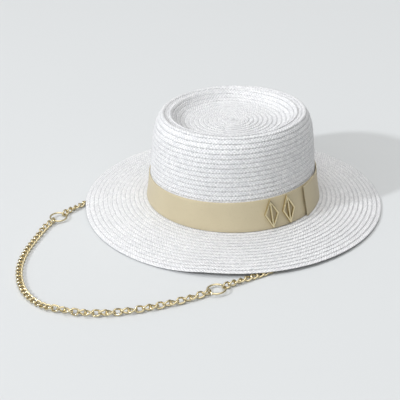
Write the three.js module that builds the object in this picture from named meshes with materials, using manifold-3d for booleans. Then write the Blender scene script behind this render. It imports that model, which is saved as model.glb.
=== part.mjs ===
// A woman's straw hat: a telescope crown whose flat oval tip is sunk below a ridge, a wide shallow brim, a
// lapped band with two open lozenge ornaments, and a loose curb chain that runs from one loop under the brim
// to the other through two rings. Millimetres, +Z up. The wearer faces -Y, so +X is the wearer's left. The
// hat rests as it does by itself on a table, with the front of its brim riding on the chain.
import * as THREE from 'three';
import { mergeVertices } from 'three/addons/utils/BufferGeometryUtils.js';
import Module from 'manifold-3d';

const wasm = await Module();
wasm.setup();

const GAP = 0.3; // room left between two pieces that touch
const STRAW = 2.0; // wall of the sewn braid
const HAT_FACETS = 60;
const SAME_POINT = 1e-4; // points nearer than this are one

// Brim: a shallow cone, its underside named at the headline and at the outer edge.
const BRIM_RADIUS = 161.5;
const BRIM_HOLE_RADIUS = 91.6;
const BRIM_EDGE_HEIGHT = 2.6;
const BRIM_HEADLINE_HEIGHT = 7.6;
const FRONT_LIFT = BRIM_EDGE_HEIGHT / BRIM_RADIUS; // radians that the chain tips the hat back

// Crown: the outer face level by level, from the foot up the side, over the ridge and down to the sunk tip.
const CROWN_FOOT = BRIM_HEADLINE_HEIGHT + STRAW + GAP;
const CROWN_LEVELS = [
  { z: CROWN_FOOT, halfWidth: 93.0, halfLength: 93.8 },
  { z: 25.0, halfWidth: 88.6, halfLength: 93.0 },
  { z: 40.0, halfWidth: 85.2, halfLength: 92.8 },
  { z: 62.0, halfWidth: 82.7, halfLength: 91.2 },
  { z: 80.8, halfWidth: 81.3, halfLength: 88.8 },
  { z: 92.6, halfWidth: 79.2, halfLength: 86.2 },
  { z: 100.6, halfWidth: 76.3, halfLength: 81.6 },
  { z: 104.5, halfWidth: 73.9, halfLength: 78.5 },
  { z: 105.6, halfWidth: 71.4, halfLength: 75.8 },
  { z: 104.6, halfWidth: 66.4, halfLength: 70.5 },
  { z: 99.4, halfWidth: 59.0, halfLength: 62.6 },
  { z: 95.3, halfWidth: 52.5, halfLength: 55.8 },
  { z: 94.0, halfWidth: 46.5, halfLength: 49.5 },
];

// Band: one strip whose free end laps over its start at the wearer's left.
const BAND_THICKNESS = 1.2;
const BAND_BOTTOM = CROWN_FOOT + GAP;
const BAND_TOP = 40.4;
const BAND_FACETS = 64;
const LAP_START = THREE.MathUtils.degToRad(10.5);
const LAP_ANGLE = THREE.MathUtils.degToRad(18);
const LAP_CLEARANCE = THREE.MathUtils.degToRad(2); // how far the upper layer stays lifted past the lower one
const LAP_RUNOUT = THREE.MathUtils.degToRad(24); // the turn in which it then comes down to the crown
const LAP_OPENING = 1.0; // how far the free end stands open

// Ornaments: open upright lozenges with a spine, flat strip on edge.
const ORNAMENT_WIDTH = 16;
const ORNAMENT_HEIGHT = 30.4;
const ORNAMENT_STRIP = 1.6;
const ORNAMENT_DEPTH = 2.6;
const ORNAMENT_ANGLES = { ornament_front: -17.3, ornament_rear: -4.8 };
const ORNAMENT_CENTRE_HEIGHT = 25.2;

// Chain: oval links with a twist from end to end, threaded one through the next, and two plain round rings.
const LINK_LENGTH = 9.8;
const LINK_WIDTH = 7.0;
const LINK_WIRE = 1.8;
const LINK_TWIST = THREE.MathUtils.degToRad(-82);
const LINK_PITCH = 6.5;
const LINK_BEND = (LINK_LENGTH - LINK_WIRE) / 2; // from a link's middle to the wire at its end
const CHAIN_SLACK = 0.3; // play between the links where one joined stretch is threaded through the next
const LOOSE_PITCH = LINK_LENGTH - 2 * LINK_WIRE - CHAIN_SLACK;
const RING_RADIUS = 8.6;
const RING_WIRE = 1.8;
const RING_HEIGHT = 3.45;
const RING_TILT = THREE.MathUtils.degToRad(4);
const RING_REACH = LINK_BEND - (LINK_WIRE + RING_WIRE) / 2 - GAP; // from a link's middle to the ring's wire

// Loops that carry the chain: a sewn-on plate with a wire eye below it.
const LOOP_RADIUS = 2.4;
const LOOP_WIRE = 1.4;
const LOOP_CENTRE_HEIGHT = 3.3;
const LOOP_PLATE_RADIUS = 3.5;
const LOOP_PLATE_THICKNESS = 1.0;

// The chain's way over the table, x, y and height, from the wearer's left loop to the right one.
const ROUTE_DIVISIONS = 2000; // how finely its length is measured
const CHAIN_ROUTE = [
  [102, -2, 2.9],
  [112, -14, 2.4],
  [126, -34, 1.8],
  [134, -58, 1.8],
  [135, -82, 1.8],
  [131, -101, 2.1],
  [128.6, -118, 3.4],
  [125.1, -138.4, 3.45],
  [122.5, -152, 3.45],
  [118, -170, 3.45],
  [111.5, -188, 3.45],
  [104, -205, 3.45],
  [95, -221.5, 3.45],
  [84, -237, 3.45],
  [70, -250.5, 3.45],
  [54, -261, 3.6],
  [40, -267.5, 2.5],
  [22, -270.3, 1.8],
  [3, -268, 1.8],
  [-18, -259.8, 1.8],
  [-38, -246.8, 1.8],
  [-55, -230, 1.8],
  [-70, -210, 1.95],
  [-82, -191, 3.35],
  [-90.5, -170.1, 3.55],
  [-95, -153, 3.7],
  [-99.5, -132, 2.3],
  [-105, -108, 1.8],
  [-109, -80, 1.8],
  [-110.5, -50, 1.8],
  [-108.5, -24, 2.4],
  [-102, -2, 2.9],
].map(([x, y, z]) => new THREE.Vector3(x, y, z));

// Each run of links between two fastenings: its joined stretches, link by link, and how the roll about the
// chain's own line goes: where it starts, and then so many links at so many degrees a link.
const CHAIN_RUNS = [
  {
    name: 'chain_left',
    stretches: [8, 7, 7],
    roll: 0,
    turns: [[17, 0], [4, 26]],
  },
  {
    name: 'chain_front',
    stretches: [8, 8, 8, 9, 9, 9],
    roll: 75,
    turns: [[22, 60], [1, 45], [23, 0], [4, 26]],
  },
  {
    name: 'chain_right',
    stretches: [8, 8, 9],
    roll: 76,
    turns: [[4, 26], [20, 0]],
  },
];

const straw = new THREE.MeshStandardMaterial({ color: 0xf4f4f2, roughness: 0.75 });
const tan = new THREE.MeshStandardMaterial({ color: 0xc9bd98, roughness: 0.5 });
const gold = new THREE.MeshStandardMaterial({ color: 0xd8b96a, roughness: 0.28, metalness: 1 });

// A closed surface with shared vertices and no collapsed triangles.
function closed(geometry) {
  geometry.deleteAttribute('normal');
  geometry.deleteAttribute('uv');
  const merged = mergeVertices(geometry, SAME_POINT);
  const kept = [];
  for (let i = 0; i < merged.index.count; i += 3) {
    const [a, b, c] = [0, 1, 2].map((k) => merged.index.getX(i + k));
    if (a !== b && b !== c && c !== a) kept.push(a, b, c);
  }
  merged.setIndex(kept);
  return merged;
}

// Moves every vertex with place(x, y, z, index), which returns the new [x, y, z].
function reshape(geometry, place) {
  const position = geometry.attributes.position;
  for (let i = 0; i < position.count; i += 1) {
    position.setXYZ(i, ...place(position.getX(i), position.getY(i), position.getZ(i), i));
  }
  return geometry;
}

function toManifold(geometry) {
  const vertProperties = Float32Array.from(geometry.attributes.position.array);
  const triVerts = Uint32Array.from(geometry.index.array);
  return new wasm.Manifold(new wasm.Mesh({ numProp: 3, vertProperties, triVerts }));
}

// One solid out of several that run into each other.
function joined(geometries) {
  const solids = geometries.map((geometry) => toManifold(closed(geometry)));
  const mesh = solids.reduce((sum, next) => sum.add(next)).getMesh();
  const geometry = new THREE.BufferGeometry();
  geometry.setAttribute('position', new THREE.BufferAttribute(mesh.vertProperties, 3));
  geometry.setIndex(new THREE.BufferAttribute(mesh.triVerts, 1));
  return geometry;
}

function named(name, geometry, material) {
  const mesh = new THREE.Mesh(geometry, material);
  mesh.name = name;
  return mesh;
}

// Revolves a closed profile of { z, halfWidth, halfLength } levels round Z as an oval.
function ovalTurning(levels) {
  const mean = levels.map((level) => (level.halfWidth + level.halfLength) / 2);
  const profile = levels.map((level, i) => new THREE.Vector2(mean[i], level.z));
  const turning = new THREE.LatheGeometry(profile, HAT_FACETS);
  turning.rotateX(Math.PI / 2);
  return closed(
    reshape(turning, (x, y, z, index) => {
      const i = index % levels.length;
      const { halfWidth, halfLength } = levels[i];
      return mean[i] > 0 ? [(x * halfWidth) / mean[i], (y * halfLength) / mean[i], z] : [0, 0, z];
    }),
  );
}

// The crown's inner face: each outer level moved one straw wall along the profile's normal.
function innerLevels(levels) {
  return levels.map((level, i) => {
    if (i === 0) {
      return { z: level.z, halfWidth: level.halfWidth - STRAW, halfLength: level.halfLength - STRAW };
    }
    const before = levels[i - 1];
    const after = levels[i + 1] ?? { ...level, halfWidth: 0 };
    const along = new THREE.Vector2(after.halfWidth - before.halfWidth, after.z - before.z).normalize();
    return {
      z: level.z + STRAW * along.x,
      halfWidth: level.halfWidth - STRAW * along.y,
      halfLength: level.halfLength - STRAW * along.y,
    };
  });
}

function crown() {
  const inner = innerLevels(CROWN_LEVELS);
  const tip = CROWN_LEVELS.at(-1);
  inner.at(-1).z = tip.z - STRAW;
  const onAxis = (z) => ({ z, halfWidth: 0, halfLength: 0 });
  const around = [onAxis(tip.z - STRAW), ...inner.reverse(), ...CROWN_LEVELS, onAxis(tip.z)];
  return named('crown', ovalTurning(around), straw);
}

function brim() {
  const level = (radius, z) => ({ z, halfWidth: radius, halfLength: radius });
  const around = [
    level(BRIM_HOLE_RADIUS, BRIM_HEADLINE_HEIGHT),
    level(BRIM_RADIUS, BRIM_EDGE_HEIGHT),
    level(BRIM_RADIUS, BRIM_EDGE_HEIGHT + STRAW),
    level(BRIM_HOLE_RADIUS, BRIM_HEADLINE_HEIGHT + STRAW),
    level(BRIM_HOLE_RADIUS, BRIM_HEADLINE_HEIGHT),
  ];
  return named('brim', ovalTurning(around), straw);
}

// The crown's outer half width and half length at a height on its side.
function sideAt(z) {
  const above = Math.max(1, CROWN_LEVELS.findIndex((level) => level.z >= z));
  const [low, high] = [CROWN_LEVELS[above - 1], CROWN_LEVELS[above]];
  const k = (z - low.z) / (high.z - low.z);
  return {
    halfWidth: THREE.MathUtils.lerp(low.halfWidth, high.halfWidth, k),
    halfLength: THREE.MathUtils.lerp(low.halfLength, high.halfLength, k),
  };
}

// How far the band stands off the crown, at an angle counted from its free end.
function bandLift(turned) {
  if (turned >= 2 * Math.PI) return GAP;
  const lapped = BAND_THICKNESS + GAP;
  const opening = LAP_OPENING * Math.max(0, 1 - turned / LAP_ANGLE) ** 2;
  const lapEnd = LAP_ANGLE + LAP_CLEARANCE;
  const down = THREE.MathUtils.smoothstep(turned, lapEnd, lapEnd + LAP_RUNOUT);
  return GAP + lapped * (1 - down) + opening;
}

function band() {
  const strip = new THREE.BoxGeometry(1, 1, 1, BAND_FACETS, 1, 2);
  const bent = reshape(strip, (along, through, up) => {
    const turned = (along + 0.5) * (2 * Math.PI + LAP_ANGLE);
    const angle = LAP_START + turned;
    const z = THREE.MathUtils.lerp(BAND_BOTTOM, BAND_TOP, up + 0.5);
    const side = sideAt(z);
    const out = bandLift(turned) + (0.5 - through) * BAND_THICKNESS;
    return [(side.halfWidth + out) * Math.cos(angle), (side.halfLength + out) * Math.sin(angle), z];
  });
  return named('band', closed(bent), tan);
}

function corners(...points) {
  return points.map(([x, y]) => new THREE.Vector2(x, y));
}

// An upright lozenge frame with a spine, its back against the band at the given angle.
function ornament(name, degrees) {
  const [w, h] = [ORNAMENT_WIDTH / 2, ORNAMENT_HEIGHT / 2];
  const spine = ORNAMENT_STRIP / 2;
  const eyeWidth = w - ORNAMENT_STRIP * Math.hypot(1, w / h);
  const eyeHeight = (h - ORNAMENT_STRIP * Math.hypot(1, h / w)) * (1 - spine / eyeWidth);
  const outline = new THREE.Shape(corners([0, -h], [w, 0], [0, h], [-w, 0]));
  outline.holes.push(
    new THREE.Path(corners([spine, eyeHeight], [eyeWidth, 0], [spine, -eyeHeight])),
    new THREE.Path(corners([-spine, -eyeHeight], [-eyeWidth, 0], [-spine, eyeHeight])),
  );
  const angle = THREE.MathUtils.degToRad(degrees);
  const onBand = (z) => {
    const side = sideAt(z);
    const out = GAP + BAND_THICKNESS + GAP;
    const x = (side.halfWidth + out) * Math.cos(angle);
    const y = (side.halfLength + out) * Math.sin(angle);
    return new THREE.Vector3(x, y, z);
  };
  const [low, high] = [onBand(ORNAMENT_CENTRE_HEIGHT - h), onBand(ORNAMENT_CENTRE_HEIGHT + h)];
  const up = high.clone().sub(low).normalize();
  const across = new THREE.Vector3(-Math.sin(angle), Math.cos(angle), 0);
  const outward = across.clone().cross(up);
  const strip = new THREE.ExtrudeGeometry(outline, { depth: ORNAMENT_DEPTH, bevelEnabled: false });
  const mesh = named(name, closed(strip), gold);
  mesh.quaternion.setFromRotationMatrix(new THREE.Matrix4().makeBasis(across, up, outward));
  mesh.position.copy(low.add(high).multiplyScalar(0.5));
  return mesh;
}

// One link, its length along X and its middle flat in XY, twisted about X from end to end.
function link() {
  const wire = new THREE.TorusGeometry((LINK_WIDTH - LINK_WIRE) / 2, LINK_WIRE / 2, 4, 8);
  const stretch = (LINK_LENGTH - LINK_WIDTH) / 2;
  return reshape(wire, (x, y, z) => {
    const end = Math.abs(x) < SAME_POINT ? 0 : Math.sign(x);
    const reach = x + end * stretch;
    const twist = (LINK_TWIST * reach) / (2 * LINK_BEND);
    const [sin, cos] = [Math.sin(twist), Math.cos(twist)];
    return [reach, y * cos - z * sin, y * sin + z * cos];
  });
}

// Where something sits on the chain's line: its place, the line's direction and its roll about that line.
function onRoute(curve, travelled, roll) {
  const u = travelled / curve.getLength();
  const position = curve.getPointAt(u);
  const along = curve.getTangentAt(u);
  const up = new THREE.Vector3(0, 0, 1).projectOnPlane(along).normalize();
  const basis = new THREE.Matrix4().makeBasis(along, up.clone().cross(along), up);
  const rolled = new THREE.Matrix4().makeRotationX(THREE.MathUtils.degToRad(roll));
  return { position, along, matrix: basis.multiply(rolled).setPosition(position) };
}

// The rolls of a run's links, one after another.
function rolls(run) {
  const all = [run.roll];
  for (const [count, turn] of run.turns) {
    for (let i = 0; i < count; i += 1) all.push(all.at(-1) + turn);
  }
  return all;
}

// A loop under the brim: its eye stands in the line of the chain that starts at place.
function loop(name, place, away) {
  const eye = new THREE.TorusGeometry(LOOP_RADIUS, LOOP_WIRE / 2, 6, 12);
  eye.rotateX(Math.PI / 2);
  eye.rotateZ(Math.atan2(place.along.y, place.along.x));
  eye.translate(0, 0, LOOP_CENTRE_HEIGHT);
  const centre = place.position.clone().addScaledVector(place.along, away * LINK_BEND).setZ(0);
  const reach = centre.length() + LOOP_PLATE_RADIUS;
  const inward = (BRIM_RADIUS - reach) / (BRIM_RADIUS - BRIM_HOLE_RADIUS);
  const underside = THREE.MathUtils.lerp(BRIM_EDGE_HEIGHT, BRIM_HEADLINE_HEIGHT, inward);
  const plate = new THREE.CylinderGeometry(LOOP_PLATE_RADIUS, LOOP_PLATE_RADIUS, LOOP_PLATE_THICKNESS, 12);
  plate.rotateX(Math.PI / 2);
  plate.translate(0, 0, underside - GAP - LOOP_PLATE_THICKNESS / 2);
  const mesh = named(name, joined([eye, plate]), gold);
  mesh.position.copy(centre);
  return mesh;
}

function chain() {
  const curve = new THREE.CatmullRomCurve3(CHAIN_ROUTE, false, 'centripetal');
  curve.arcLengthDivisions = ROUTE_DIVISIONS;
  const pieces = new THREE.Group();
  let travelled = 0;
  CHAIN_RUNS.forEach((run, runIndex) => {
    const roll = rolls(run);
    let count = 0;
    run.stretches.forEach((links, i) => {
      const geometries = [];
      for (let k = 0; k < links; k += 1) {
        if (count > 0) travelled += k === 0 ? LOOSE_PITCH : LINK_PITCH;
        geometries.push(link().applyMatrix4(onRoute(curve, travelled, roll[count]).matrix));
        count += 1;
      }
      pieces.add(named(`${run.name}_${i + 1}`, joined(geometries), gold));
    });
    if (runIndex < CHAIN_RUNS.length - 1) {
      const centre = onRoute(curve, travelled + RING_REACH + RING_RADIUS, 0);
      const ring = new THREE.TorusGeometry(RING_RADIUS, RING_WIRE / 2, 6, 24);
      const mesh = named(runIndex === 0 ? 'ring_left' : 'ring_right', closed(ring), gold);
      mesh.rotation.set(RING_TILT, 0, Math.atan2(centre.along.y, centre.along.x), 'ZXY');
      mesh.position.copy(centre.position).setZ(RING_HEIGHT);
      pieces.add(mesh);
      travelled += 2 * (RING_REACH + RING_RADIUS);
    }
  });
  pieces.add(loop('loop_left', onRoute(curve, 0, 0), -1));
  pieces.add(loop('loop_right', onRoute(curve, travelled, 0), 1));
  return pieces;
}

const hat = new THREE.Group();
hat.add(crown(), brim(), band());
for (const [name, degrees] of Object.entries(ORNAMENT_ANGLES)) hat.add(ornament(name, degrees));
hat.rotation.x = -FRONT_LIFT;

// The whole stands with its base on Z = 0 and the middle of its outline over the origin.
const model = new THREE.Group();
model.add(hat, chain());
const box = new THREE.Box3().setFromObject(model, true);
const middle = box.getCenter(new THREE.Vector3());
model.position.set(-middle.x, -middle.y, -box.min.z);

export default model;
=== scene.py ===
# A woman's straw hat with a lapped band, two open lozenges and a loose curb chain with two rings.
# Metres, +Z up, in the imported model's frame. The wearer faces -Y, so +X is the wearer's left.
import math

import bmesh
import bpy
import numpy as np
from mathutils import Matrix, Vector


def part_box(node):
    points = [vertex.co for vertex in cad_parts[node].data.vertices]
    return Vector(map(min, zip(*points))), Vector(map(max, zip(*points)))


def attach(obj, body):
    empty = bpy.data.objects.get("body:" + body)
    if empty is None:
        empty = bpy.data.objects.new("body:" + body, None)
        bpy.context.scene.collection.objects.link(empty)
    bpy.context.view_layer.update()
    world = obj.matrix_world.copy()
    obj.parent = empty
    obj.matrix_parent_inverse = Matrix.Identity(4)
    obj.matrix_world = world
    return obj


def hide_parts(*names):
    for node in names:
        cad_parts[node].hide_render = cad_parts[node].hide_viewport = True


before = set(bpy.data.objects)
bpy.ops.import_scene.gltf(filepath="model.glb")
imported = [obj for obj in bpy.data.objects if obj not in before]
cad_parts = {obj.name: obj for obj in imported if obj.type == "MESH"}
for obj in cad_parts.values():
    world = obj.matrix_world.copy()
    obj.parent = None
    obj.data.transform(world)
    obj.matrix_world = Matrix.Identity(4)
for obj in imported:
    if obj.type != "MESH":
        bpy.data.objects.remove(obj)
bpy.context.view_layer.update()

MM = 0.001
GAP = 0.3 * MM  # room left between two pieces that touch
RANDOM = np.random.default_rng(11)

# ---------------------------------------------------------------- sizes

# Braid: one long plaited tape, sewn round and round so that each row lies over the edge of the next.
STRAW = 2.0 * MM  # the wall that two overlapping rows make
ROW = 4.8 * MM  # how much of each row shows
OVERLAP = 1.7 * MM
TAPE_WIDTH = ROW + OVERLAP
TAPE_THICKNESS = 0.8 * MM
TAPE_THICK_SHARE = 0.625  # the tape is thinner where it is narrower than this share of its width
TAPE_LEAN = 0.8 * MM  # how much higher the outer edge of a row lies than its inner edge
TAPE_PROUD = 0.15 * MM  # how far the middle of a row lies above the middle of the wall
TAPE_TAIL_LOSS = 0.97  # the share of its width that the tape loses as it runs out
LEAD_SHARE = 0.2  # the share of each turn in which a row moves out by one row's width
LEAD_ANGLE = math.radians(173)  # where each turn begins, so that the move is at the back
SPIRAL_TURNS = 3  # in these turns a tape from the middle goes over from an even spiral to the lead
WALL_SPACING = 0.5 * MM  # between the points of a wall's line

# How the sewer's hand wavers: how far, and the shortest and the longest wave.
SWAY = (0.13 * MM, 8 * MM, 60 * MM)
LIFT = (0.1 * MM, 6 * MM, 50 * MM)
WAVES = 7

BRIM_TURN_STEPS = 260
BRIM_RADIUS = 161.5 * MM
BRIM_HOLE_RADIUS = 91.6 * MM
BRIM_EDGE_HEIGHT = 2.6 * MM
BRIM_HEADLINE_HEIGHT = 7.6 * MM
BRIM_ROLL_WIDTH = 7 * MM  # how far in from its edge the brim begins to turn down
BRIM_ROLL_RISE = 0.4 * MM  # how far it lies above BRIM_EDGE_HEIGHT there
BRIM_ROLL_DROP = 1.1 * MM  # how far the edge itself lies below it
DROOP = 4.2 * MM  # how far the front of the brim sags between the two runs of chain under it
DROOP_HEADING = -90  # degrees
DROOP_REACH = 37  # degrees to each side
DROOP_OUT_POWER = 1.6  # how late the sag comes on the way out to the edge
DROOP_SIDE_POWER = 3.5  # how flat it is along the edge
FRONT_LIFT = BRIM_EDGE_HEIGHT / BRIM_RADIUS  # radians that the chain tips the hat back

CROWN_TURN_STEPS = 200
CROWN_FOOT = BRIM_HEADLINE_HEIGHT + STRAW + GAP
# Half width, half length and height in mm of the crown's outer face, from the tip's middle to the foot.
CROWN_LEVELS = [
    (0.0, 0.0, 94.0),
    (30.0, 31.5, 94.0),
    (46.0, 49.0, 94.1),
    (52.5, 55.8, 95.3),
    (59.0, 62.6, 99.4),
    (64.2, 68.3, 104.2),
    (67.6, 71.8, 103.2),
    (71.4, 75.8, 105.6),
    (73.9, 78.5, 104.5),
    (76.3, 81.6, 100.6),
    (79.2, 86.2, 92.6),
    (81.3, 88.8, 80.8),
    (82.7, 91.2, 62.0),
    (85.2, 92.8, 40.0),
    (88.6, 93.0, 25.0),
    (93.0, 93.8, CROWN_FOOT / MM),
]

# Band: one strip whose free end laps over its start at the wearer's left.
BAND_THICKNESS = 1.0 * MM
BAND_BOTTOM = 9.3 * MM
BAND_TOP = 40.4 * MM
BAND_EDGE = 0.4 * MM  # radius of its four edges
BAND_END_EDGE = 0.25 * MM  # how far the faces step in at its two ends
BAND_END_SHARE = 0.002  # the share of its length that each end takes
BAND_STEPS = 320
FACE_STEPS = 7  # from the band's lower edge to its upper edge
BAND_MEAN_RADIUS = 90 * MM
BAND_GAP = 0.05 * MM
LAP_START = math.radians(10.5)
LAP_ANGLE = math.radians(18)
LAP_CLEARANCE = math.radians(2)  # how far the upper layer stays lifted past the lower one
LAP_RUNOUT = math.radians(24)  # the turn in which it then comes down to the crown
LAP_OPENING = 2.0 * MM  # how far the free end stands open

# Ornaments: open upright lozenges with a spine.
ORNAMENT_WIDTH = 16 * MM
ORNAMENT_HEIGHT = 30.4 * MM
ORNAMENT_STRIP = 1.6 * MM
ORNAMENT_DEPTH = 2.6 * MM
ORNAMENT_EDGE = 0.35 * MM
ORNAMENT_CENTRE_HEIGHT = 25.2 * MM
ORNAMENT_ANGLES = {"ornament_front": math.radians(-17.3), "ornament_rear": math.radians(-4.8)}

# Chain: oval links with a twist from end to end, two plain rings, and a loop at each end.
LINK_LENGTH = 9.8 * MM
LINK_WIDTH = 7.0 * MM
LINK_WIRE = 1.8 * MM
LINK_TWIST = math.radians(-82)
LINK_PITCH = 6.5 * MM
LINK_BEND = (LINK_LENGTH - LINK_WIRE) / 2  # from a link's middle to the wire at its end
LINK_CIRCLE_POINTS = 48
LINK_POINTS = 36  # on the oval made from that circle
LINK_WIRE_SIDES = 12
LOOSE_PITCH = LINK_LENGTH - 2 * LINK_WIRE - GAP
RING_RADIUS = 8.6 * MM
RING_WIRE = 1.8 * MM
RING_HEIGHT = 3.45 * MM
RING_TILT = math.radians(4)
RING_REACH = LINK_BEND - (LINK_WIRE + RING_WIRE) / 2 - GAP  # from a link's middle to the ring's wire
LOOP_RADIUS = 2.4 * MM
LOOP_WIRE = 1.4 * MM
LOOP_CENTRE_HEIGHT = 3.3 * MM
LOOP_PLATE_RADIUS = 3.5 * MM
LOOP_PLATE_THICKNESS = 1.0 * MM
LOOP_PLATE_EDGE = 0.25 * MM
SAME_POINT = 0.002 * MM  # points nearer than this are one
SHARP = math.radians(40)  # plates and ornaments keep a crease where two faces meet at more than this

# The chain's way over the table in millimetres, from the wearer's left loop to the right one.
CHAIN_ROUTE = [
    (102, -2, 2.9),
    (112, -14, 2.4),
    (126, -34, 1.8),
    (134, -58, 1.8),
    (135, -82, 1.8),
    (131, -101, 2.1),
    (128.6, -118, 3.4),
    (125.1, -138.4, 3.45),
    (122.5, -152, 3.45),
    (118, -170, 3.45),
    (111.5, -188, 3.45),
    (104, -205, 3.45),
    (95, -221.5, 3.45),
    (84, -237, 3.45),
    (70, -250.5, 3.45),
    (54, -261, 3.6),
    (40, -267.5, 2.5),
    (22, -270.3, 1.8),
    (3, -268, 1.8),
    (-18, -259.8, 1.8),
    (-38, -246.8, 1.8),
    (-55, -230, 1.8),
    (-70, -210, 1.95),
    (-82, -191, 3.35),
    (-90.5, -170.1, 3.55),
    (-95, -153, 3.7),
    (-99.5, -132, 2.3),
    (-105, -108, 1.8),
    (-109, -80, 1.8),
    (-110.5, -50, 1.8),
    (-108.5, -24, 2.4),
    (-102, -2, 2.9),
]

# Each run of links between two fastenings: the number of links in each of its stretches, the ring at its
# far end, and how the links roll about the chain's own line in degrees: the first link's roll, and then so
# many links that each turn so much further than the one before.
CHAIN_RUNS = {
    "chain_left": {
        "stretches": [8, 7, 7],
        "ring": "ring_left",
        "roll": 0,
        "turns": [(17, 0), (4, 26)],
    },
    "chain_front": {
        "stretches": [8, 8, 8, 9, 9, 9],
        "ring": "ring_right",
        "roll": 75,
        "turns": [(22, 60), (1, 45), (23, 0), (4, 26)],
    },
    "chain_right": {
        "stretches": [8, 8, 9],
        "ring": None,
        "roll": 76,
        "turns": [(4, 26), (20, 0)],
    },
}

# ---------------------------------------------------------------- places and lines

brim_low, brim_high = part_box("brim")
lean = Matrix.Rotation(-FRONT_LIFT, 4, "X")
brim_middle = lean @ Vector((0, 0, BRIM_EDGE_HEIGHT + STRAW / 2))
brim_back = lean @ Vector((0, BRIM_RADIUS, BRIM_EDGE_HEIGHT))
brim_centre_y = (brim_low.y + brim_high.y) / 2
# The crown's axis on the table, in the frame; the hat then leans about that point and the chain doesn't.
TABLE_PLACE = Matrix.Translation((0, brim_centre_y - brim_middle.y, brim_low.z - brim_back.z))
HAT_PLACE = TABLE_PLACE @ lean


def smooth_line(points, steps):
    """A centripetal spline through the points: a dense line with the given steps between two points."""
    points = np.array(points, float)
    first = 2 * points[0] - points[1]
    last = 2 * points[-1] - points[-2]
    knots = np.vstack([first, points, last])
    spans = np.sqrt(np.linalg.norm(np.diff(knots, axis=0), axis=1))
    t = np.arange(steps)[:, None] / steps
    line = []
    for i in range(1, len(knots) - 2):
        p0, p1, p2, p3 = knots[i - 1 : i + 3]
        d0, d1, d2 = spans[i - 1 : i + 2]
        leave = ((p1 - p0) / d0 - (p2 - p0) / (d0 + d1) + (p2 - p1) / d1) * d1
        arrive = ((p2 - p1) / d1 - (p3 - p1) / (d1 + d2) + (p3 - p2) / d2) * d1
        cubic = 2 * p1 - 2 * p2 + leave + arrive
        square = -3 * p1 + 3 * p2 - 2 * leave - arrive
        line.append(p1 + leave * t + square * t**2 + cubic * t**3)
    return np.vstack([*line, points[-1:]])


def lengths_along(line):
    """How far along a line each of its points is."""
    return np.concatenate([[0], np.cumsum(np.linalg.norm(np.diff(line, axis=0), axis=1))])


CROWN_LINE = smooth_line(CROWN_LEVELS, steps=16) * MM
CHAIN_LINE = smooth_line(CHAIN_ROUTE, steps=60) * MM
CHAIN_LENGTHS = lengths_along(CHAIN_LINE)


def crown_side(z):
    """The crown's outer half width and half length at a height on its side."""
    side = CROWN_LINE[CROWN_LINE[:, 2].argmax() :][::-1]
    return np.interp(z, side[:, 2], side[:, 0]), np.interp(z, side[:, 2], side[:, 1])


def on_chain(travelled):
    """Where the chain's line is after this distance, and the way it goes."""
    reach = 0.05 * MM
    behind, place, ahead = (
        np.array([np.interp(distance, CHAIN_LENGTHS, CHAIN_LINE[:, k]) for k in range(3)])
        for distance in (travelled - reach, travelled, travelled + reach)
    )
    way = ahead - behind
    return Vector(place), Vector(way / np.linalg.norm(way))


# ---------------------------------------------------------------- meshes and nodes


def add_object(name, data):
    """An object in the scene that holds this mesh, light or camera."""
    made = bpy.data.objects.new(name, data)
    bpy.context.scene.collection.objects.link(made)
    return made


def add_piece(name, mesh, material, nodes):
    """A piece of the hat with this mesh and material, which stands for these nodes of the model."""
    piece = add_object(name, mesh)
    mesh.materials.clear()
    mesh.materials.append(material)
    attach(piece, "root")
    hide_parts(*nodes)
    return piece


def grid_mesh(name, sections, ring=False, uv=None):
    """A closed skin over cross-sections, each a loop of points; a ring's last section meets its first."""
    count, sides = sections.shape[:2]
    index = np.arange(count * sides).reshape(count, sides)
    after = np.roll(index, -1, axis=0)
    rows = slice(None) if ring else slice(0, count - 1)
    quads = np.stack([index, np.roll(index, -1, 1), np.roll(after, -1, 1), after], axis=-1)[rows]
    faces = quads.reshape(-1, 4).tolist()
    if not ring:
        faces += [index[0, ::-1].tolist(), index[-1].tolist()]
    mesh = bpy.data.meshes.new(name)
    mesh.from_pydata(sections.reshape(-1, 3).tolist(), [], faces)
    if signed_volume(mesh) < 0:
        mesh.flip_normals()
    mesh.shade_smooth()
    if uv is not None:
        corners = np.empty(len(mesh.loops), np.int64)
        mesh.loops.foreach_get("vertex_index", corners)
        layer = mesh.uv_layers.new(name="braid")
        layer.uv.foreach_set("vector", uv.reshape(-1, 2)[corners].astype(np.float32).ravel())
    return mesh


def signed_volume(mesh):
    """The volume inside a closed mesh, negative if its faces look inward."""
    mesh.calc_loop_triangles()
    places = np.empty(len(mesh.vertices) * 3, np.float32)
    mesh.vertices.foreach_get("co", places)
    corners = np.empty(len(mesh.loop_triangles) * 3, np.int32)
    mesh.loop_triangles.foreach_get("vertices", corners)
    a, b, c = places.astype(float).reshape(-1, 3)[corners.reshape(-1, 3)].transpose(1, 0, 2)
    return np.einsum("ij,ij->i", a, np.cross(b, c)).sum() / 6


def joined_mesh(name, meshes):
    """One mesh made of several."""
    places = []
    faces = []
    for mesh in meshes:
        start = len(places)
        places += [vertex.co[:] for vertex in mesh.vertices]
        faces += [[start + i for i in face.vertices] for face in mesh.polygons]
    whole = bpy.data.meshes.new(name)
    whole.from_pydata(places, [], faces)
    whole.shade_smooth()
    return whole


def wire_ring(name, radius, wire, place, around=96, sides=16):
    """A ring of round wire lying in its own XY plane, put in its place."""
    angle = np.linspace(0, 2 * math.pi, around, endpoint=False)[:, None]
    wire_angle = np.linspace(0, 2 * math.pi, sides, endpoint=False)[None, :]
    reach = radius + wire / 2 * np.cos(wire_angle)
    rise = wire / 2 * np.sin(wire_angle) + 0 * angle
    mesh = grid_mesh(name, np.stack([reach * np.cos(angle), reach * np.sin(angle), rise], -1), ring=True)
    mesh.transform(place)
    return mesh


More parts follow.
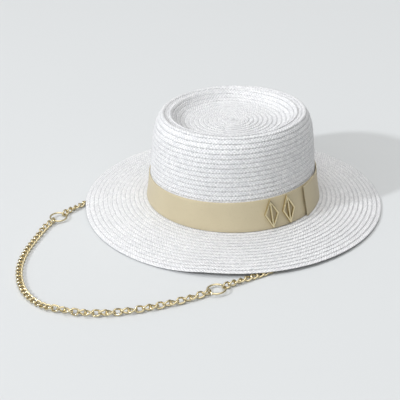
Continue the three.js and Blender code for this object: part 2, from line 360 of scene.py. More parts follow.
def node(tree, kind, sources=None, **settings):
    """A new node with its settings; each source is an input's value or the socket that feeds it."""
    made = tree.nodes.new(kind)
    for setting, value in settings.items():
        setattr(made, setting, value)
    for key, source in (sources or {}).items():
        if isinstance(source, bpy.types.NodeSocket):
            tree.links.new(source, made.inputs[key])
        else:
            made.inputs[key].default_value = source
    return made


def math_node(tree, operation, *sources, **settings):
    """A math node's output."""
    made = node(tree, "ShaderNodeMath", dict(enumerate(sources)), operation=operation, **settings)
    return made.outputs[0]


def node_group(kind, name, inputs, outputs):
    """A new node group, the sockets that give its inputs, and the sockets that take its outputs."""
    tree = bpy.data.node_groups.new(name, kind)
    for label, socket in inputs:
        tree.interface.new_socket(label, in_out="INPUT", socket_type=socket)
    for label, socket in outputs:
        tree.interface.new_socket(label, in_out="OUTPUT", socket_type=socket)
    return tree, tree.nodes.new("NodeGroupInput").outputs, tree.nodes.new("NodeGroupOutput").inputs


# ---------------------------------------------------------------- materials

STRAW_WIDTH = 3.2 * MM
STRAW_FLATNESS = 0.7  # the power that flattens a straw's round back
STRAW_BUMP = 0.7 * MM
WAVER = 1.6 * MM  # how far the plait strays from its straight pattern
WAVER_SCALE = 260.0  # strays in a metre
# The seam line is painted shade: a dark line at the foot of each row, where the row before laps over it,
# standing for that edge's shadow.
SEAM_PLACE = OVERLAP + 1.05 * MM  # counted from the tape's inner edge, so at the foot of the row before
SEAM_REACH = 0.95 * MM  # to each side of its middle
SEAM_SCALLOP = 0.45  # the share of that reach that a straw's bulge covers
# The painted seam shade is broken into dashes along the row: their length, how often their depth changes,
# and how faint they get.
SHADE_DASH = 2.6 * MM
SHADE_DASH_SCALE = 1.7  # changes of depth in a dash of painted shade
SHADE_DASH_FAINT, SHADE_DASH_DEEP = 0.38, 0.56  # the noise values between which a dash of painted shade goes from faint to full
SHADE_DASH_FAINTEST = 0.2
LEATHER_GRAINS = 1300.0  # in a metre
LEATHER_BUMP = 0.04 * MM
SPECK_START, SPECK_FULL = 0.58, 0.72  # the noise values between which a speck comes in


def handling_group():
    """Slow drifts of tone over a surface, and small specks as a mask from 0 to 1."""
    tree, given, out = node_group(
        "ShaderNodeTree",
        "handling",
        [("Drift size", "NodeSocketFloat"), ("Speck size", "NodeSocketFloat")],
        [("Drift", "NodeSocketFloat"), ("Specks", "NodeSocketFloat")],
    )
    place = node(tree, "ShaderNodeTexCoord").outputs["Object"]
    drift_scale = math_node(tree, "DIVIDE", 1.0, given["Drift size"])
    drift = node(tree, "ShaderNodeTexNoise", {"Vector": place, "Scale": drift_scale, "Detail": 3.0})
    speck_scale = math_node(tree, "DIVIDE", 1.0, given["Speck size"])
    specks = node(tree, "ShaderNodeTexNoise", {"Vector": place, "Scale": speck_scale, "Detail": 2.0})
    peaks = {"Value": specks.outputs["Fac"], "From Min": SPECK_START, "From Max": SPECK_FULL}
    speck_mask = node(tree, "ShaderNodeMapRange", peaks)
    tree.links.new(drift.outputs["Fac"], out["Drift"])
    tree.links.new(speck_mask.outputs["Result"], out["Specks"])
    return tree


def plait_group():
    """Flat straws that cross under and over on the slant of the tape.

    Height is the straws' relief and Tone each crossing's own shade, both from 0 to 1. The seam output is
    painted shade: a broken dark line where a row comes out from under the row before it, for its shadow."""
    tree, given, out = node_group(
        "ShaderNodeTree",
        "plait",
        [
            ("Straw width", "NodeSocketFloat"),
            ("Seam place", "NodeSocketFloat"),
            ("Seam reach", "NodeSocketFloat"),
            ("Shade dash", "NodeSocketFloat"),
        ],
        [("Height", "NodeSocketFloat"), ("Tone", "NodeSocketFloat"), ("Seam", "NodeSocketFloat")],
    )
    flat_tape = node(tree, "ShaderNodeUVMap", uv_map="braid").outputs["UV"]
    waver = node(tree, "ShaderNodeTexNoise", {"Vector": flat_tape, "Scale": WAVER_SCALE, "Detail": 1.0})
    stray = {"Vector": waver.outputs["Color"], "Scale": WAVER}
    shift = node(tree, "ShaderNodeVectorMath", stray, operation="SCALE").outputs["Vector"]
    tape = node(tree, "ShaderNodeVectorMath", {0: flat_tape, 1: shift}, operation="ADD").outputs["Vector"]
    parts = node(tree, "ShaderNodeSeparateXYZ", {"Vector": tape}).outputs
    along, across = parts["X"], parts["Y"]

    slants = []
    for operation in ("ADD", "SUBTRACT"):
        slanted = math_node(tree, operation, along, across)
        straws = math_node(tree, "DIVIDE", slanted, given["Straw width"])
        whole = math_node(tree, "FLOOR", straws)
        part = math_node(tree, "SUBTRACT", straws, whole)
        bulge = math_node(tree, "SINE", math_node(tree, "MULTIPLY", part, math.pi))
        slants.append((whole, bulge))
    (one, one_bulge), (other, other_bulge) = slants
    crossing = math_node(tree, "ADD", one, other)
    over = math_node(tree, "GREATER_THAN", math_node(tree, "FLOORED_MODULO", crossing, 2.0), 0.5)
    upper = node(tree, "ShaderNodeMix", {"Factor": over, "A": one_bulge, "B": other_bulge})
    lower = node(tree, "ShaderNodeMix", {"Factor": over, "A": other_bulge, "B": one_bulge})
    flattened = math_node(tree, "POWER", upper.outputs["Result"], STRAW_FLATNESS)
    dipped = math_node(tree, "MULTIPLY_ADD", lower.outputs["Result"], 0.5, 0.5)
    height = math_node(tree, "MULTIPLY", flattened, dipped)
    which = node(tree, "ShaderNodeCombineXYZ", {"X": one, "Y": other}).outputs["Vector"]
    tone = node(tree, "ShaderNodeTexWhiteNoise", {"Vector": which}, noise_dimensions="2D").outputs["Value"]

    # Painted shade at the seam: a dark line where a row comes out from under the row before, in dashes.
    off_seam = math_node(tree, "ABSOLUTE", math_node(tree, "SUBTRACT", across, given["Seam place"]))
    phase = math_node(tree, "DIVIDE", math_node(tree, "MULTIPLY", along, math.pi), given["Straw width"])
    scallops = math_node(tree, "ABSOLUTE", math_node(tree, "SINE", phase))
    shown = math_node(tree, "MULTIPLY_ADD", scallops, -SEAM_SCALLOP, 1.0)
    reach = math_node(tree, "MULTIPLY", shown, given["Seam reach"])
    line = math_node(tree, "SUBTRACT", 1.0, math_node(tree, "DIVIDE", off_seam, reach), use_clamp=True)
    shade_dashes = math_node(tree, "DIVIDE", along, given["Shade dash"])
    uneven = node(tree, "ShaderNodeTexNoise", {"W": shade_dashes, "Scale": SHADE_DASH_SCALE}, noise_dimensions="1D")
    deepening = {"Value": uneven.outputs["Fac"], "From Min": SHADE_DASH_FAINT, "From Max": SHADE_DASH_DEEP}
    depth = node(tree, "ShaderNodeMapRange", deepening).outputs["Result"]
    broken = math_node(tree, "MULTIPLY_ADD", depth, 1 - SHADE_DASH_FAINTEST, SHADE_DASH_FAINTEST)
    seam_shade = math_node(tree, "MULTIPLY", line, broken)

    tree.links.new(height, out["Height"])
    tree.links.new(tone, out["Tone"])
    tree.links.new(seam_shade, out["Seam"])
    return tree


HANDLING = handling_group()
PLAIT = plait_group()


def new_material(name, base, roughness, metallic=0.0):
    """A material with a Principled BSDF and plain values on its sockets, which a pattern may then feed."""
    material = bpy.data.materials.new(name)
    material.use_nodes = True
    shader = material.node_tree.nodes["Principled BSDF"]
    shader.inputs["Base Color"].default_value = (*base, 1)
    shader.inputs["Roughness"].default_value = roughness
    shader.inputs["Metallic"].default_value = metallic
    return material, material.node_tree, shader


def handled(tree, drift_size, speck_size):
    """The handling group in a material, set to the size of its drifts and specks."""
    sizes = {"Drift size": drift_size, "Speck size": speck_size}
    made = node(tree, "ShaderNodeGroup", sizes, node_tree=HANDLING)
    return made.outputs["Drift"], made.outputs["Specks"]


def tinted(tree, mask, low, high, light, dark):
    """A colour that goes from light to dark as the mask goes from low to high; light may be a socket."""
    fade = node(tree, "ShaderNodeMapRange", {"Value": mask, "From Min": low, "From Max": high})
    light = light if isinstance(light, bpy.types.NodeSocket) else (*light, 1)
    # A Mix node's colours are its seventh and eighth inputs and its third output.
    mix = {"Factor": fade.outputs["Result"], 6: light, 7: (*dark, 1)}
    return node(tree, "ShaderNodeMix", mix, data_type="RGBA").outputs[2]


def add_relief(tree, shader, height, distance, strength):
    """Bump on the shader, of a height from 0 to 1 that stands for this distance."""
    bump = node(tree, "ShaderNodeBump", {"Height": height, "Distance": distance, "Strength": strength})
    tree.links.new(bump.outputs["Normal"], shader.inputs["Normal"])


def straw_material():
    """White paper straw, plaited, with painted shade in the hollows between the straws and under the edge
    of each row.
    """
    material, tree, shader = new_material("straw", (0.85, 0.86, 0.88), 0.5)
    drift, specks = handled(tree, 60 * MM, 2.2 * MM)
    sizes = {
        "Straw width": STRAW_WIDTH,
        "Seam place": SEAM_PLACE,
        "Seam reach": SEAM_REACH,
        "Shade dash": SHADE_DASH,
    }
    plait = node(tree, "ShaderNodeGroup", sizes, node_tree=PLAIT).outputs
    colour = tinted(tree, plait["Tone"], 0.1, 1.1, (1.0, 1.0, 1.0), (0.82, 0.823, 0.835))
    colour = tinted(tree, drift, 0.3, 1.5, colour, (0.74, 0.745, 0.76))
    colour = tinted(tree, specks, 0.0, 3.5, colour, (0.40, 0.40, 0.42))
    # Painted shade: darker where the plait is low, in the hollows between the straws.
    colour = tinted(tree, plait["Height"], 0.5, 0.0, colour, (0.5, 0.505, 0.52))
    # Painted shade: the dark seam line under each row's lapped edge.
    colour = tinted(tree, plait["Seam"], 0.0, 1.0, colour, (0.42, 0.42, 0.43))
    tree.links.new(colour, shader.inputs["Base Color"])
    add_relief(tree, shader, plait["Height"], STRAW_BUMP, 1.0)
    return material


def leather_material():
    """Smooth pale beige leather with a fine grain."""
    material, tree, shader = new_material("leather", (0.66, 0.60, 0.42), 0.42)
    shader.inputs["Specular IOR Level"].default_value = 0.35
    drift, specks = handled(tree, 30 * MM, 1.2 * MM)
    colour = tinted(tree, drift, 0.3, 0.8, (0.575, 0.503, 0.342), (0.53, 0.458, 0.308))
    colour = tinted(tree, specks, 0.0, 3.0, colour, (0.42, 0.37, 0.25))
    tree.links.new(colour, shader.inputs["Base Color"])
    place = node(tree, "ShaderNodeTexCoord").outputs["Object"]
    grain = node(tree, "ShaderNodeTexVoronoi", {"Vector": place, "Scale": LEATHER_GRAINS})
    add_relief(tree, shader, grain.outputs["Distance"], LEATHER_BUMP, 0.35)
    return material


def metal_material():
    """Polished pale gold plate, dulled here and there."""
    material, tree, shader = new_material("pale_gold", (0.92, 0.83, 0.62), 0.2, metallic=1.0)
    drift, specks = handled(tree, 12 * MM, 0.9 * MM)
    colour = tinted(tree, drift, 0.3, 0.8, (0.74, 0.64, 0.41), (0.68, 0.58, 0.36))
    tree.links.new(colour, shader.inputs["Base Color"])
    dulled = node(tree, "ShaderNodeMapRange", {"Value": specks, "To Min": 0.16, "To Max": 0.28})
    tree.links.new(dulled.outputs["Result"], shader.inputs["Roughness"])
    return material


STRAW_LOOK = straw_material()
LEATHER = leather_material()
GOLD = metal_material()

# ---------------------------------------------------------------- braid

# The tape's cross-section: shares of its width across, from the inner edge, and of its thickness.
TAPE_SECTION = np.array(
    [
        (0.0, 0.0),
        (0.05, 0.36),
        (0.22, 0.5),
        (0.5, 0.54),
        (0.78, 0.52),
        (0.94, 0.4),
        (1.0, 0.0),
        (0.94, -0.38),
        (0.5, -0.5),
        (0.06, -0.38),
    ]
)


def smooth_step(t):
    """A smooth rise from 0 to 1 as t goes from 0 to 1."""
    t = np.clip(t, 0, 1)
    return t * t * (3 - 2 * t)


def wander(distance, amount, shortest, longest):
    """A wavering number along the tape, about as large as amount."""
    total = 0
    for wave in np.geomspace(shortest, longest, WAVES):
        total = total + np.sin(2 * math.pi * (distance / wave + RANDOM.random()))
    return amount * total / math.sqrt(WAVES)


def tape_course(wall_width, turn_steps, from_middle):
    """How a tape is sewn over a wall, step by step.

    Gives the turns gone, where the tape's inner edge lies, its width, and whether it is in its last turn,
    where it runs out. A tape that starts in the middle first opens like a fan, in a turn of its own."""
    turns = round((wall_width - TAPE_WIDTH) / ROW) + 1
    row = (wall_width - TAPE_WIDTH) / (turns - 1)
    fan = 1 if from_middle else 0
    gone = np.arange((turns + fan) * turn_steps + 1) / turn_steps - fan
    whole = np.minimum(np.floor(gone), turns - 1)
    part = gone - whole
    lead = smooth_step((part - 1 + LEAD_SHARE) / LEAD_SHARE)
    last = whole >= turns - 1
    by_lead = smooth_step(gone / SPIRAL_TURNS) if from_middle else 1
    moved_out = np.where(last, 0, part + (lead - part) * by_lead)
    inner = row * np.maximum(0, whole + moved_out)
    widths = np.where(last, TAPE_WIDTH * (1 - TAPE_TAIL_LOSS * lead), TAPE_WIDTH)
    widths = np.where(gone < 0, row * part + OVERLAP, widths)
    inner = np.where(last, inner + TAPE_WIDTH - widths, inner)
    if not from_middle:  # the first row widens where it moves out, so that no gap opens at the band's foot
        widths = np.where(whole < 1, TAPE_WIDTH + inner, widths)
        inner = np.where(whole < 1, 0, inner)
    return gone, inner, widths, last


def braid(name, line, turn_steps, from_middle, bend=None):
    """A tape sewn round and round along a line of half width, half length and height of the wall's middle.

    The line runs outward; each row's outer edge lies over the inner edge of the next. A bend lifts each
    place by a height worked out from its x and y. The mesh's UV map is the place on the flat tape: how far
    along it, and how far across from its inner edge."""
    lengths = lengths_along(line[:, [0, 2]])
    gone, inner, widths, last = tape_course(lengths[-1], turn_steps, from_middle)
    radius = np.interp(inner, lengths, line[:, 0]) + TAPE_WIDTH / 2
    travelled = np.concatenate([[0], np.cumsum(radius[1:] * 2 * math.pi / turn_steps)])
    sway = wander(travelled, *SWAY)
    lift = wander(travelled, *LIFT)
    inner = inner + sway * np.clip(gone - 1, 0, 1) * ~last  # the first and the last row keep their lines
    share, rise = TAPE_SECTION.T
    across = inner[:, None] + widths[:, None] * share
    thick = TAPE_THICKNESS * np.minimum(1, widths / TAPE_WIDTH / TAPE_THICK_SHARE)
    height = lift[:, None] + (share - 0.5) * TAPE_LEAN + rise * thick[:, None] + TAPE_PROUD
    angle = LEAD_ANGLE + 2 * math.pi * gone
    places, normals = on_line(line, lengths, across, angle[:, None] + 0 * across)
    sections = places + normals * height[..., None]
    if bend:
        sections[..., 2] += bend(sections[..., 0], sections[..., 1])
    uv = np.stack([travelled[:, None] + 0 * across, TAPE_WIDTH * share + 0 * across], -1)
    mesh = grid_mesh(name, sections, uv=uv)
    mesh.transform(HAT_PLACE)
    return mesh


def on_line(line, lengths, across, angle):
    """Places and outward normals on an oval wall, at lengths across it and angles round it."""

    def oval(distance):
        """Half width, half length and height at lengths across the wall."""
        return [np.interp(distance, lengths, line[:, k]) for k in range(3)]

    reach = 0.6 * MM
    wide, long, high = oval(across)
    wider, longer, higher = np.subtract(oval(across + reach), oval(across - reach))
    cos, sin = np.cos(angle), np.sin(angle)
    places = np.stack([wide * cos, long * sin, high], -1)
    outward = np.stack([wider * cos, longer * sin, higher], -1)
    around = np.stack([-np.maximum(wide, MM) * sin, np.maximum(long, MM) * cos, 0 * high], -1)
    normals = np.cross(outward, around)
    return places, normals / np.linalg.norm(normals, axis=-1)[..., None]


def inside(line, depth):
    """The line moved inward off its own outer face by a depth."""
    step = np.gradient(line[:, [0, 2]], axis=0)
    step = step / np.linalg.norm(step, axis=1)[:, None]
    moved = line.copy()
    moved[:, 0] += step[:, 1] * depth
    moved[:, 1] += step[:, 1] * depth
    moved[:, 2] -= step[:, 0] * depth
    moved[:, :2] = np.maximum(moved[:, :2], 0)
    return moved


def even_line(line):
    """The line with its points at an even spacing."""
    lengths = lengths_along(line[:, [0, 2]])
    at = np.linspace(0, lengths[-1], round(lengths[-1] / WALL_SPACING) + 1)
    return np.stack([np.interp(at, lengths, line[:, k]) for k in range(3)], axis=1)


def brim_line():
    """The middle of the brim's wall, from the crown to the edge, which turns down."""
    levels = [
        (BRIM_HOLE_RADIUS, BRIM_HEADLINE_HEIGHT),
        (BRIM_RADIUS - BRIM_ROLL_WIDTH, BRIM_EDGE_HEIGHT + BRIM_ROLL_RISE),
        (BRIM_RADIUS, BRIM_EDGE_HEIGHT - BRIM_ROLL_DROP),
    ]
    return np.array([(radius, radius, underside + STRAW / 2) for radius, underside in levels])


def brim_droop(x, y):
    """How far the front of the brim is lowered, between the two places where it rides on the chain."""
    outward = np.clip((np.hypot(x, y) - BRIM_HOLE_RADIUS) / (BRIM_RADIUS - BRIM_HOLE_RADIUS), 0, 1)
    sideways = np.clip((np.degrees(np.arctan2(y, x)) - DROOP_HEADING) / DROOP_REACH, -1, 1)
    return -DROOP * outward**DROOP_OUT_POWER * (1 - np.abs(sideways) ** DROOP_SIDE_POWER)


crown_wall = even_line(inside(even_line(CROWN_LINE), STRAW / 2))
crown_mesh = braid("crown_braid", crown_wall, CROWN_TURN_STEPS, from_middle=True)
crown = add_piece("crown_braid", crown_mesh, STRAW_LOOK, ["crown"])

brim_mesh = braid("brim_braid", even_line(brim_line()), BRIM_TURN_STEPS, from_middle=False, bend=brim_droop)
add_piece("brim_braid", brim_mesh, STRAW_LOOK, ["brim"])

# ---------------------------------------------------------------- band


def band_lift(turned):
    """How far the band stands off the crown, at an angle counted from its free end."""
    lap_end = LAP_ANGLE + LAP_CLEARANCE
    down = smooth_step((turned - lap_end) / LAP_RUNOUT)
    opening = LAP_OPENING * np.maximum(0, 1 - turned / LAP_ANGLE) ** 2
    lapped = BAND_GAP + BAND_THICKNESS * (1 - down) + opening
    return np.where(turned >= 2 * math.pi, BAND_GAP, lapped)


def strip_outline(low, high, thickness, edge, inset):
    """A strip's cross-section: heights and distances out, with rounded edges, going round it once."""
    low, high, near, far = low + inset, high - inset, inset, thickness - inset
    centres = [
        (high - edge, far - edge, 0),
        (low + edge, far - edge, 90),
        (low + edge, near + edge, 180),
        (high - edge, near + edge, 270),
    ]
    outline = []
    for z, out, start in centres:
        for degrees in (0, 30, 60, 90):
            angle = math.radians(start + degrees)
            outline.append((z + edge * math.cos(angle), out + edge * math.sin(angle)))
        if start in (0, 180):  # the outer face, and later the inner face, has points between its corners
            other = low + edge if start == 0 else high - edge
            level = far if start == 0 else near
            outline += [(z + (other - z) * i / FACE_STEPS, level) for i in range(1, FACE_STEPS)]
    return np.array(outline)


def band_mesh(name):
    """The strip, wound once round the crown from its free end at the lap to the end below it."""
    whole_turn = 2 * math.pi + LAP_ANGLE
    end = BAND_END_EDGE / (BAND_MEAN_RADIUS * whole_turn)
    shares = [0, end, *np.linspace(BAND_END_SHARE, 1 - BAND_END_SHARE, BAND_STEPS), 1 - end, 1]
    sections = []
    for share in shares:
        inset = BAND_END_EDGE if share in (0, 1) else 0
        heights, outs = strip_outline(BAND_BOTTOM, BAND_TOP, BAND_THICKNESS, BAND_EDGE, inset).T
        turned = share * whole_turn
        reach = outs + band_lift(turned)
        wide, long = crown_side(heights)
        angle = LAP_START + turned
        x = (wide + reach) * np.cos(angle)
        y = (long + reach) * np.sin(angle)
        sections.append(np.stack([x, y, heights], -1))
    mesh = grid_mesh(name, np.array(sections))
    mesh.transform(HAT_PLACE)
    return mesh


band = add_piece("band_strip", band_mesh("band_strip"), LEATHER, ["band"])

# ---------------------------------------------------------------- ornaments


def lozenge_mesh(name):
    """An upright lozenge frame with a spine, standing on its back, with rounded edges."""
    wide, high = ORNAMENT_WIDTH / 2, ORNAMENT_HEIGHT / 2
    spine = ORNAMENT_STRIP / 2
    eye_wide = wide - ORNAMENT_STRIP * math.hypot(1, wide / high)
    eye_high = (high - ORNAMENT_STRIP * math.hypot(1, high / wide)) * (1 - spine / eye_wide)
    outlines = [
        [(0, -high), (wide, 0), (0, high), (-wide, 0)],
        [(spine, eye_high), (eye_wide, 0), (spine, -eye_high)],
        [(-spine, -eye_high), (-eye_wide, 0), (-spine, eye_high)],
    ]
    curve = bpy.data.curves.new(name, "CURVE")
    curve.dimensions = "2D"
    curve.fill_mode = "BOTH"
    curve.extrude = ORNAMENT_DEPTH / 2 - ORNAMENT_EDGE
    curve.bevel_depth = ORNAMENT_EDGE
    curve.bevel_resolution = 3
    curve.offset = -ORNAMENT_EDGE
    for outline in outlines:
        spline = curve.splines.new("POLY")
        spline.points.add(len(outline) - 1)
        for point, (x, y) in zip(spline.points, outline):
            point.co = (x, y, 0, 1)
        spline.use_cyclic_u = True
    holder = bpy.data.objects.new(name, curve)
    mesh = bpy.data.meshes.new_from_object(holder)
    bpy.data.objects.remove(holder)
    bpy.data.curves.remove(curve)
    shape = bmesh.new()
    shape.from_mesh(mesh)
    bmesh.ops.remove_doubles(shape, verts=shape.verts, dist=SAME_POINT)
    bmesh.ops.recalc_face_normals(shape, faces=shape.faces)
    shape.to_mesh(mesh)
    shape.free()
    mesh.shade_smooth()
    mesh.set_sharp_from_angle(angle=SHARP)
    mesh.transform(Matrix.Translation((0, 0, ORNAMENT_DEPTH / 2)))
    return mesh


def ornament_place(angle):
    """The place of a lozenge that stands on the band, upright along the crown's slope at this angle."""
    reach = GAP + BAND_THICKNESS + GAP
    ends = []
    for z in (ORNAMENT_CENTRE_HEIGHT - ORNAMENT_HEIGHT / 2, ORNAMENT_CENTRE_HEIGHT + ORNAMENT_HEIGHT / 2):
        wide, long = crown_side(z)
        ends.append(Vector(((wide + reach) * math.cos(angle), (long + reach) * math.sin(angle), z)))
    up = (ends[1] - ends[0]).normalized()
    across = Vector((-math.sin(angle), math.cos(angle), 0))
    turn = Matrix((across, up, across.cross(up))).transposed().to_4x4()
    return HAT_PLACE @ Matrix.Translation((ends[0] + ends[1]) / 2) @ turn


for ornament, ornament_angle in ORNAMENT_ANGLES.items():
    lozenge = lozenge_mesh(ornament + "_frame")
    lozenge.transform(ornament_place(ornament_angle))
    add_piece(ornament + "_frame", lozenge, GOLD, [ornament])

# ---------------------------------------------------------------- chain


def link_run_tree():
    """Links set on the points of a mesh, each turned to the point's own along and up.

    A link is a circle of wire, pulled apart into an oval and twisted from end to end."""
    tree, given, out = node_group(
        "GeometryNodeTree",
        "link run",
        [
            ("Stations", "NodeSocketGeometry"),
            ("Length", "NodeSocketFloat"),
            ("Width", "NodeSocketFloat"),
            ("Wire", "NodeSocketFloat"),
            ("Twist", "NodeSocketFloat"),
            ("Material", "NodeSocketMaterial"),
        ],
        [("Links", "NodeSocketGeometry")],
    )
    tree.is_modifier = True
    bend = math_node(tree, "MULTIPLY", math_node(tree, "SUBTRACT", given["Width"], given["Wire"]), 0.5)
    round_link = {"Resolution": LINK_CIRCLE_POINTS, "Radius": bend}
    circle = node(tree, "GeometryNodeCurvePrimitiveCircle", round_link)
    place = node(tree, "GeometryNodeInputPosition").outputs["Position"]
    along = node(tree, "ShaderNodeSeparateXYZ", {"Vector": place}).outputs["X"]
    longer = math_node(tree, "MULTIPLY", math_node(tree, "SUBTRACT", given["Length"], given["Width"]), 0.5)
    shift = math_node(tree, "MULTIPLY", math_node(tree, "SIGN", along), longer)
    offset = node(tree, "ShaderNodeCombineXYZ", {"X": shift}).outputs["Vector"]
    halves = {"Geometry": circle.outputs["Curve"], "Offset": offset}
    oval = node(tree, "GeometryNodeSetPosition", halves)
    uneven = {"Curve": oval.outputs["Geometry"], "Count": LINK_POINTS}
    even = node(tree, "GeometryNodeResampleCurve", uneven)
    whole_length = math_node(tree, "SUBTRACT", given["Length"], given["Wire"])
    twist = math_node(tree, "DIVIDE", math_node(tree, "MULTIPLY", given["Twist"], along), whole_length)
    turned = node(tree, "ShaderNodeVectorRotate", {"Vector": place, "Angle": twist}, rotation_type="X_AXIS")
    untwisted = {"Geometry": even.outputs["Curve"], "Position": turned.outputs["Vector"]}
    twisted = node(tree, "GeometryNodeSetPosition", untwisted)
    thickness = math_node(tree, "MULTIPLY", given["Wire"], 0.5)
    section = {"Resolution": LINK_WIRE_SIDES, "Radius": thickness}
    wire = node(tree, "GeometryNodeCurvePrimitiveCircle", section)
    curves = {"Curve": twisted.outputs["Geometry"], "Profile Curve": wire.outputs["Curve"]}
    link = node(tree, "GeometryNodeCurveToMesh", curves)
    smooth = node(tree, "GeometryNodeSetShadeSmooth", {"Geometry": link.outputs["Mesh"]})

    axes = {}
    for axis, label in (("Primary Axis", "along"), ("Secondary Axis", "up")):
        way = node(tree, "GeometryNodeInputNamedAttribute", {"Name": label}, data_type="FLOAT_VECTOR")
        axes[axis] = way.outputs["Attribute"]
    rotation = node(tree, "FunctionNodeAxesToRotation", axes, primary_axis="X", secondary_axis="Z")
    stations = node(tree, "GeometryNodeMeshToPoints", {"Mesh": given["Stations"]})
    run = {
        "Points": stations.outputs["Points"],
        "Instance": smooth.outputs["Geometry"],
        "Rotation": rotation.outputs["Rotation"],
    }
    instances = node(tree, "GeometryNodeInstanceOnPoints", run)
    real = node(tree, "GeometryNodeRealizeInstances", {"Geometry": instances.outputs["Instances"]})
    links = {"Geometry": real.outputs["Geometry"], "Material": given["Material"]}
    finished = node(tree, "GeometryNodeSetMaterial", links)
    tree.links.new(finished.outputs["Geometry"], out["Links"])
    return tree


def link_drop(roll):
    """How far a twisted link reaches below its own middle, at a roll about its line."""
    along = np.linspace(-LINK_BEND, LINK_BEND, 41)
    straight = (LINK_LENGTH - LINK_WIDTH) / 2
    bend = (LINK_WIDTH - LINK_WIRE) / 2
    side = np.sqrt(np.maximum(0, bend**2 - np.maximum(0, np.abs(along) - straight) ** 2))
    angle = roll + LINK_TWIST * along / (2 * LINK_BEND)
    return (side * np.abs(np.sin(angle))).max() + LINK_WIRE / 2


def link_stations(name, run, start):
    """A mesh of the points where a run's links sit, and the distance travelled at the last one."""
    rolls = [run["roll"]]
    for count, step in run["turns"]:
        rolls += [rolls[-1] + step * (i + 1) for i in range(count)]
    first_of_stretch = np.cumsum([0, *run["stretches"]])
    places, alongs, ups = [], [], []
    travelled = start
    for i, degrees in enumerate(rolls):
        if i > 0:
            travelled += LOOSE_PITCH if i in first_of_stretch else LINK_PITCH
        place, along = on_chain(travelled)
        upright = (Vector((0, 0, 1)) - along * along.z).normalized()
        sideways = upright.cross(along)
        roll = math.radians(degrees)
        place = TABLE_PLACE @ place
        place.z = max(place.z, link_drop(roll) + GAP)  # no link dips into the table
        places.append(place)
        alongs.append(along)
        ups.append(upright * math.cos(roll) - sideways * math.sin(roll))
    stations = bpy.data.meshes.new(name)
    stations.from_pydata([place[:] for place in places], [], [])
    for label, ways in (("along", alongs), ("up", ups)):
        attribute = stations.attributes.new(label, "FLOAT_VECTOR", "POINT")
        attribute.data.foreach_set("vector", np.array([way[:] for way in ways], np.float32).ravel())
    return stations, travelled


def link_mesh(name, stations, tree):
    """The run's links as a plain mesh."""
    holder = add_object(name, stations)
    modifier = holder.modifiers.new("links", "NODES")
    modifier.node_group = tree
    values = {
        "Length": LINK_LENGTH,
        "Width": LINK_WIDTH,
        "Wire": LINK_WIRE,
        "Twist": LINK_TWIST,
        "Material": GOLD,
    }
    for item in tree.interface.items_tree:
        if item.name in values and item.in_out == "INPUT":
            modifier[item.identifier] = values[item.name]
    holder.update_tag()
    evaluated = holder.evaluated_get(bpy.context.evaluated_depsgraph_get())
    mesh = bpy.data.meshes.new_from_object(evaluated)
    bpy.data.objects.remove(holder)
    mesh.name = name
    if signed_volume(mesh) < 0:
        mesh.flip_normals()
    return mesh


def heading_turn(way):
    """The turn about the upright that takes +X to this way's heading."""
    return Matrix.Rotation(math.atan2(way.y, way.x), 4, "Z")


def ring_mesh(name, travelled):
    """A plain ring, nearly flat on the table, whose near side hangs in the link at this distance."""
    centre, along = on_chain(travelled + RING_REACH + RING_RADIUS)
    centre.z = RING_HEIGHT
    turn = heading_turn(along) @ Matrix.Rotation(RING_TILT, 4, "X")
    return wire_ring(name, RING_RADIUS, RING_WIRE, TABLE_PLACE @ Matrix.Translation(centre) @ turn)


def loop_mesh(name, travelled, away):
    """A loop's wire eye, standing in the chain's line, and the plate above it.

    The link at this distance hangs in the eye, which lies ahead of it if away is 1 and behind it if -1."""
    place, along = on_chain(travelled)
    centre = place + along * (away * LINK_BEND)
    centre.z = 0
    stand = heading_turn(along) @ Matrix.Rotation(math.pi / 2, 4, "X")
    lift = Matrix.Translation(centre + Vector((0, 0, LOOP_CENTRE_HEIGHT)))
    eye = wire_ring(name, LOOP_RADIUS, LOOP_WIRE, TABLE_PLACE @ lift @ stand, around=40, sides=14)
    inward = (BRIM_RADIUS - centre.length - LOOP_PLATE_RADIUS) / (BRIM_RADIUS - BRIM_HOLE_RADIUS)
    underside = BRIM_EDGE_HEIGHT + (BRIM_HEADLINE_HEIGHT - BRIM_EDGE_HEIGHT) * inward
    plate = bpy.data.meshes.new(name + "_plate")
    shape = bmesh.new()
    bmesh.ops.create_cone(
        shape,
        cap_ends=True,
        segments=40,
        radius1=LOOP_PLATE_RADIUS,
        radius2=LOOP_PLATE_RADIUS,
        depth=LOOP_PLATE_THICKNESS,
    )
    rims = [edge for edge in shape.edges if len({round(corner.co.z, 6) for corner in edge.verts}) == 1]
    bmesh.ops.bevel(shape, geom=rims, offset=LOOP_PLATE_EDGE, segments=3, affect="EDGES")
    shape.to_mesh(plate)
    shape.free()
    middle = underside - GAP - LOOP_PLATE_THICKNESS / 2
    plate.transform(TABLE_PLACE @ Matrix.Translation(centre + Vector((0, 0, middle))))
    whole = joined_mesh(name, [eye, plate])
    whole.set_sharp_from_angle(angle=SHARP)
    return whole


def add_chain():
    """The runs of links and the two rings between them, and then the two loops that carry them."""
    tree = link_run_tree()
    travelled = 0
    for name, run in CHAIN_RUNS.items():
        stations, travelled = link_stations(name, run, travelled)
        nodes = [f"{name}_{i + 1}" for i in range(len(run["stretches"]))]
        add_piece(name + "_links", link_mesh(name + "_links", stations, tree), GOLD, nodes)
        if run["ring"]:
            wire_name = run["ring"] + "_wire"
            add_piece(wire_name, ring_mesh(wire_name, travelled), GOLD, [run["ring"]])
            travelled += 2 * (RING_REACH + RING_RADIUS)
    for loop, at, away in (("loop_left", 0, -1), ("loop_right", travelled, 1)):
        add_piece(loop + "_eye", loop_mesh(loop + "_eye", at, away), GOLD, [loop])


add_chain()

# ---------------------------------------------------------------- floor, light and camera

FLOOR_REACH = 6.0
FLOOR_COLOUR = (0.633, 0.648, 0.651)

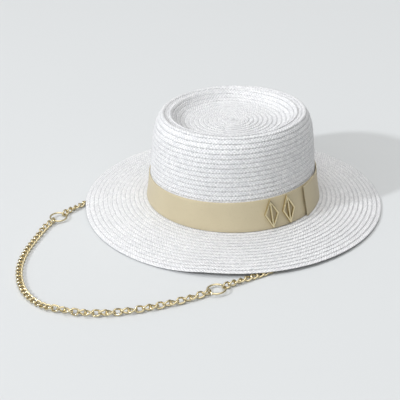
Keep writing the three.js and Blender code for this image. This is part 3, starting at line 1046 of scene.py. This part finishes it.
# Soft light from all round, in broad lobes: heading and height in degrees, sharpness and strength.
SKY_LOBES = {
    "zenith": (0, 90, 10.0, 2.8),
    "top": (0, 90, 2.0, 0.08),
    "left": (-133, 35, 3.0, 0.3),
    "front": (-57, 38, 3.0, 1.05),
    "right": (47, 20, 3.0, 0.06),
    "back": (137, 20, 3.0, 0.52),
}

# The key is a small lamp in front of the wearer, low and a little to the wearer's right. Its heading and
# height, in degrees, and its distance are from a point on the crown's axis.
KEY_AIM_HEIGHT = 60 * MM
KEY_HEADING = 260
KEY_HEIGHT = 31
KEY_DISTANCE = 1.9
KEY_RADIUS = 53 * MM
KEY_STRENGTH = 19.8
KEY_COLOUR = (0.97, 0.99, 1.03)

# The camera stands at the wearer's left front, looking down. Its place is from the crown's axis on the
# table, its angles are in degrees, and its lens and sensor are in millimetres.
CAMERA_PLACE = Vector((615.03, -573.53, 443.17)) * MM
CAMERA_HEADING = 139.463
CAMERA_DIP = 27.881
CAMERA_ROLL = -1.32
CAMERA_LENS = 77.1
CAMERA_SENSOR = 36


def direction(heading, height):
    """The way to a point of the sky, from its heading and its height in degrees."""
    turn, rise = math.radians(heading), math.radians(height)
    return Vector((math.cos(turn) * math.cos(rise), math.sin(turn) * math.cos(rise), math.sin(rise)))


def add_floor():
    """The smooth pale table."""
    mesh = bpy.data.meshes.new("floor")
    corners = [(x * FLOOR_REACH, y * FLOOR_REACH, 0) for x, y in ((-1, -1), (1, -1), (1, 1), (-1, 1))]
    mesh.from_pydata(corners, [], [(0, 1, 2, 3)])
    mesh.materials.append(new_material("backdrop", FLOOR_COLOUR, 0.9)[0])
    add_object("floor", mesh)


def studio_world():
    """White light whose strength is the sum of the sky's lobes."""
    world = bpy.data.worlds.new("studio")
    world.use_nodes = True
    tree = world.node_tree
    background = tree.nodes["Background"]
    background.inputs["Color"].default_value = (1, 1, 1, 1)
    way = node(tree, "ShaderNodeTexCoord").outputs["Generated"]
    strength = 0.0
    for heading, height, sharpness, amount in SKY_LOBES.values():
        middle = direction(heading, height)
        towards = node(tree, "ShaderNodeVectorMath", {0: way, 1: middle}, operation="DOT_PRODUCT")
        facing = math_node(tree, "MAXIMUM", towards.outputs["Value"], 0.0)
        lobe = math_node(tree, "POWER", facing, sharpness)
        strength = math_node(tree, "MULTIPLY_ADD", lobe, amount, strength)
    tree.links.new(strength, background.inputs["Strength"])
    return world


def add_key():
    """The key lamp, whose light doesn't fall off, so that near and far parts are lit alike."""
    light = bpy.data.lights.new("key", "POINT")
    light.shadow_soft_size = KEY_RADIUS
    light.energy = 1
    light.color = KEY_COLOUR
    light.use_nodes = True
    tree = light.node_tree
    falloff = node(tree, "ShaderNodeLightFalloff", {"Strength": KEY_STRENGTH})
    tree.links.new(falloff.outputs["Constant"], tree.nodes["Emission"].inputs["Strength"])
    key = add_object("key", light)
    aim = TABLE_PLACE @ Vector((0, 0, KEY_AIM_HEIGHT))
    key.location = aim + direction(KEY_HEADING, KEY_HEIGHT) * KEY_DISTANCE


def add_camera():
    """The camera, turned to its heading, dipped and then rolled about its own line of sight."""
    lens = bpy.data.cameras.new("camera")
    lens.lens = CAMERA_LENS
    lens.sensor_width = CAMERA_SENSOR
    camera = add_object("camera", lens)
    heading = Matrix.Rotation(math.radians(CAMERA_HEADING - 90), 4, "Z")
    dip = Matrix.Rotation(math.radians(90 - CAMERA_DIP), 4, "X")
    roll = Matrix.Rotation(math.radians(CAMERA_ROLL), 4, "Z")
    camera.matrix_world = Matrix.Translation(TABLE_PLACE @ CAMERA_PLACE) @ heading @ dip @ roll
    return camera


add_floor()
add_key()
scene = bpy.context.scene
scene.view_settings.view_transform = "Standard"
scene.world = studio_world()
scene.camera = add_camera()
